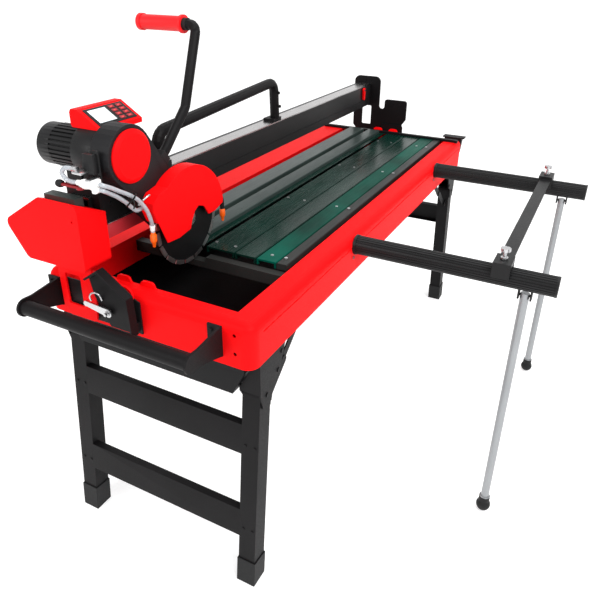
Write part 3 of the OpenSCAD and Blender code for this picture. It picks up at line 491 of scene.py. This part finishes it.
# Routes of the three hoses, from fitting to fitting
UPPER = [(TEE_X, 36.9, 875), (TEE_X, 29, 874), (-738, 25, 866), (-722, 24, 856), (-700, 22, 842),
         (-681, 20, 827), (-664, 18, 803), (-653, 19, 778), (-647, 22, 762), (-646, 23, 748.1)]
LOWER = [(TEE_X, 36.9, 865), (TEE_X, 30, 864), (-738, 30, 855), (-722, 30, 844), (-700, 30, 825),
         (-688, 30, 812), (-677, 30, 803), (-664.3, 30, 802)]
LOOP = [(TEE_X, 90.1, TEE_Z), (TEE_X, 104, 869), (TEE_X, 118, 872), (TEE_X, 126, 882),
        (TEE_X, 118, 892), (TEE_X, 106, LOOP_Z), (TEE_X, 99.1, LOOP_Z)]


def make_hoses():
    hose = tube("hose_upper", UPPER, HOSE_R, "white_tube", "head")
    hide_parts("water_hoses")
    tube("hose_lower", LOWER, HOSE_R, "white_tube", "head")
    tube("hose_loop", LOOP, HOSE_R, "white_tube", "head")


def fitting(name, start, end, profile, look="bright_steel", sides=24):
    """A turned fitting of the water supply on the saw head."""
    return lathe(name, start, end, profile, look, "head", sides)


def make_tee():
    body = fitting("hose_tee", (TEE_X, 74, TEE_Z), (TEE_X, 47, TEE_Z),
                   [(0, 6), (0.02, 9), (0.25, 9), (0.28, 8), (0.75, 8), (0.8, 9.5), (1, 9.5)],
                   "white_plastic")
    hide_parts("hose_fittings")
    x0, x1 = TEE_X - TEE_HALF, TEE_X + TEE_HALF
    z0, z1 = TEE_Z - MANIFOLD_H, TEE_Z + MANIFOLD_H
    slab("tee_manifold", [(x0, MANIFOLD_Y, z0), (x1, MANIFOLD_Y, z0), (x1, MANIFOLD_Y, z1),
                          (x0, MANIFOLD_Y, z1)],
         9, "white_plastic", "head", 2.0)
    for name, z in OUTLETS.items():
        fitting(f"tee_barb_{name}", (TEE_X, 44, z), (TEE_X, 36.5, z),
                [(0, 5.4), (0.3, 5.4), (0.35, 4.7), (1, 4.7)], "white_plastic")
    fitting("tee_inlet", (TEE_X, 73, TEE_Z), (TEE_X, 90, TEE_Z),
            [(0, 7.5), (0.35, 7.5), (0.4, 5.5), (1, 5.2)], "white_plastic")


def make_valve():
    fitting("valve_pin", (TEE_X, 84, 857.5), (TEE_X, 84, 866),
            [(0, 0), (0.01, 3.4), (0.1, 3.9), (1, 3.9)], sides=16)
    lathe("valve_knob", (TEE_X, 128, 861), (TEE_X, 143, 861),
          [(0, 4), (0.15, 6.5), (0.5, 7.5), (0.85, 6.5), (1, 3)], "black_rubber", "valve")


def make_bracket():
    slab("hose_bracket", [(BRACKET_X, 54, 858), (BRACKET_X, 96, 858), (BRACKET_X, 96, 900),
                          (BRACKET_X, 66, 926), (BRACKET_X, 54, 926)],
         3.6, "black_alloy", "head")
    slab("bracket_spacer", rect_x(BRACKET_X, 58, 82, 885, 921), -10, "black_alloy", "head")
    for name, y0, y1, z in (("low", 54, 66, 876), ("high", 74, 96, 886)):
        slab(f"bracket_arm_{name}", rect_z(-757, -733, y0, y1, z), 4, "bright_steel", "head")
    fitting("loop_fitting", (TEE_X, 86, LOOP_Z), (TEE_X, 99, LOOP_Z),
            [(0, 4), (0.05, 6), (0.6, 6), (0.65, 5), (1, 5)], sides=6)


def make_nozzles():
    fitting("guard_nipple", (-664.2, 30, 802), (-653.2, 30, 802),
            [(0, 4.2), (0.5, 4.2), (0.52, 5.6), (1, 5.6)], sides=6)
    lathe("hose_collar", (-647.2, 21.8, 763), (-646.2, 23, 752),
          [(0, 5.6), (0.3, 5.6), (0.35, 4.9), (0.8, 4.9), (1, 4.6)], "white_plastic", "head")
    fitting("nozzle_left", (*NOZZLE_LEFT, 748), (*NOZZLE_LEFT, 716),
            [(0, 4.6), (0.12, 4.6), (0.16, 6.6), (0.5, 7.2), (0.62, 6.0), (0.7, 4.2),
             (0.97, 3), (1, 2)], "orange")
    fitting("nozzle_right", (*NOZZLE_RIGHT, 716), (*NOZZLE_RIGHT, 686),
            [(0, 5), (0.1, 6.4), (0.5, 6.8), (0.62, 5.6), (0.7, 4), (0.97, 3), (1, 2)],
            "orange")
    tube("nozzle_elbow", [(-424, 26, 748), (-416, 26, 748), (-407, 26, 744),
                          (*NOZZLE_RIGHT, 735), (*NOZZLE_RIGHT, 714)],
         5, "black_rubber", "head")


def make_ties():
    """A cable tie and a wire clip, which hold the two hoses together."""
    tie = [(-700, 17, 832), (-697, 12.5, 838), (-690, 15, 842), (-686, 26, 838), (-688, 36, 826),
           (-695, 36, 818), (-701, 27, 821), (-700, 17, 832)]
    tube("cable_tie", tie, 1.6, "black_rubber", "head", 8)
    tail = [(-699, 14, 834), (-704, 8, 828), (-711, 4, 822)]
    tube("tie_tail", tail, 1.3, "black_rubber", "head", 8)
    clip = [(-676, 12, 826), (-666, 8, 832), (-658, 12, 830), (-660, 24, 822), (-668, 27, 812),
            (-678, 22, 816)]
    tube("hose_clip", clip, 2.0, "bright_steel", "head", 8)


def make_water_supply():
    make_hoses()
    make_tee()
    make_valve()
    make_bracket()
    make_nozzles()
    make_ties()


# ---- Control panel ----
PANEL_CORNER = (-688, 87, 951)
PANEL_TILT = math.atan2(30, 49)
KEY_PITCH_X = 20
KEY_PITCH_V = 10.4
KEY_W = 14
KEY_H = 7.5
MARK_X = (4, 9.5)
MARK_V = (2.2, 4.6)


def on_panel(x, v, w):
    """A point on the control panel: x along the machine, v up the slope, w off the face."""
    return (PANEL_CORNER[0] + x,
            PANEL_CORNER[1] + v * math.cos(PANEL_TILT) - w * math.sin(PANEL_TILT),
            PANEL_CORNER[2] + v * math.sin(PANEL_TILT) + w * math.cos(PANEL_TILT))


def panel_slab(name, x0, x1, v0, v1, w, thick, look, soft):
    """A plate on the panel's face, w mm off it."""
    corners = [on_panel(x0, v0, w), on_panel(x1, v0, w), on_panel(x1, v1, w),
               on_panel(x0, v1, w)]
    return slab(name, corners, thick, look, "carriage_body", soft)


def make_control_panel():
    """A recessed board with a blank window and eight keys with plain marks."""
    board = panel_slab("panel_board", 8, 108, 5, 52, 0, 1.5, "black_plastic", 0.5)
    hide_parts("control_panel")
    panel_slab("panel_rim", 12, 60, 9, 48, 1.4, 0.7, "black_rubber", 0.3)
    panel_slab("panel_window", 14, 58, 11, 46, 1.7, 0.9, "lcd", 0.3)
    for column in range(2):
        for row in range(4):
            x = 67 + KEY_PITCH_X * column
            v = 9 + KEY_PITCH_V * row
            panel_slab(f"panel_key_{column}{row}", x, x + KEY_W, v, v + KEY_H, 1.4, 1.0,
                       "dark_red", 0.4)
            panel_slab(f"panel_mark_{column}{row}", x + MARK_X[0], x + MARK_X[1],
                       v + MARK_V[0], v + MARK_V[1], 2.3, 0.4, "key_mark", 0.1)


# ---- Small pieces at the near end ----
def make_tilt_clip():
    """A wire over the tilt lock's lever, and a hexagon knob below it."""
    wire = [(-752, 74, 634), (-756, 74, 646), (-759, 82, 652), (-760, 92, 648), (-760, 97, 640),
            (-757, 98, 630)]
    tube("lock_spring", wire, 1.8, "bright_steel", "base", 8)
    lathe("lock_knob", (-756, 58, 612), (-766, 58, 612),
          [(0, 6), (0.5, 6), (0.55, 4), (1, 3.5)], "bright_steel", "base", 6)


SKIRT_Y = 96.5
SKIRT_TOP = 766


def make_carriage_skirt():
    """The red face under the carriage, coloured pinker as a painted sheen of reflected light, with
    a bright edge along its top.
    """
    skirt = [(-694, SKIRT_Y, 736), (-690, SKIRT_Y, SKIRT_TOP), (-578, SKIRT_Y, SKIRT_TOP),
             (-572, SKIRT_Y, 736)]
    # The skirt's pink is a painted sheen on red sheet
    slab("carriage_skirt", skirt, 3, "red_painted_sheen", "carriage_body")
    slab("skirt_edge", rect_z(-690, -578, 94.5, 99.8, SKIRT_TOP), 1.6, "bright_steel",
         "carriage_body", 0.3)


BACKING_X = -734.5


def make_dark_backing():
    """The dark plate at the near end, where the bridge swings."""
    outline = [(186, 570), (-4, 570), (-4, 640), (20, 650), (186, 650)]
    slab("end_backing", [(BACKING_X, y, z) for y, z in outline], -3, "black_sheet", "base",
         0.3)


make_dark_backing()
make_water_supply()
make_control_panel()
make_tilt_clip()
make_carriage_skirt()
bpy.context.scene.view_settings.view_transform = "Standard"
make_camera()
make_stage()
make_light()
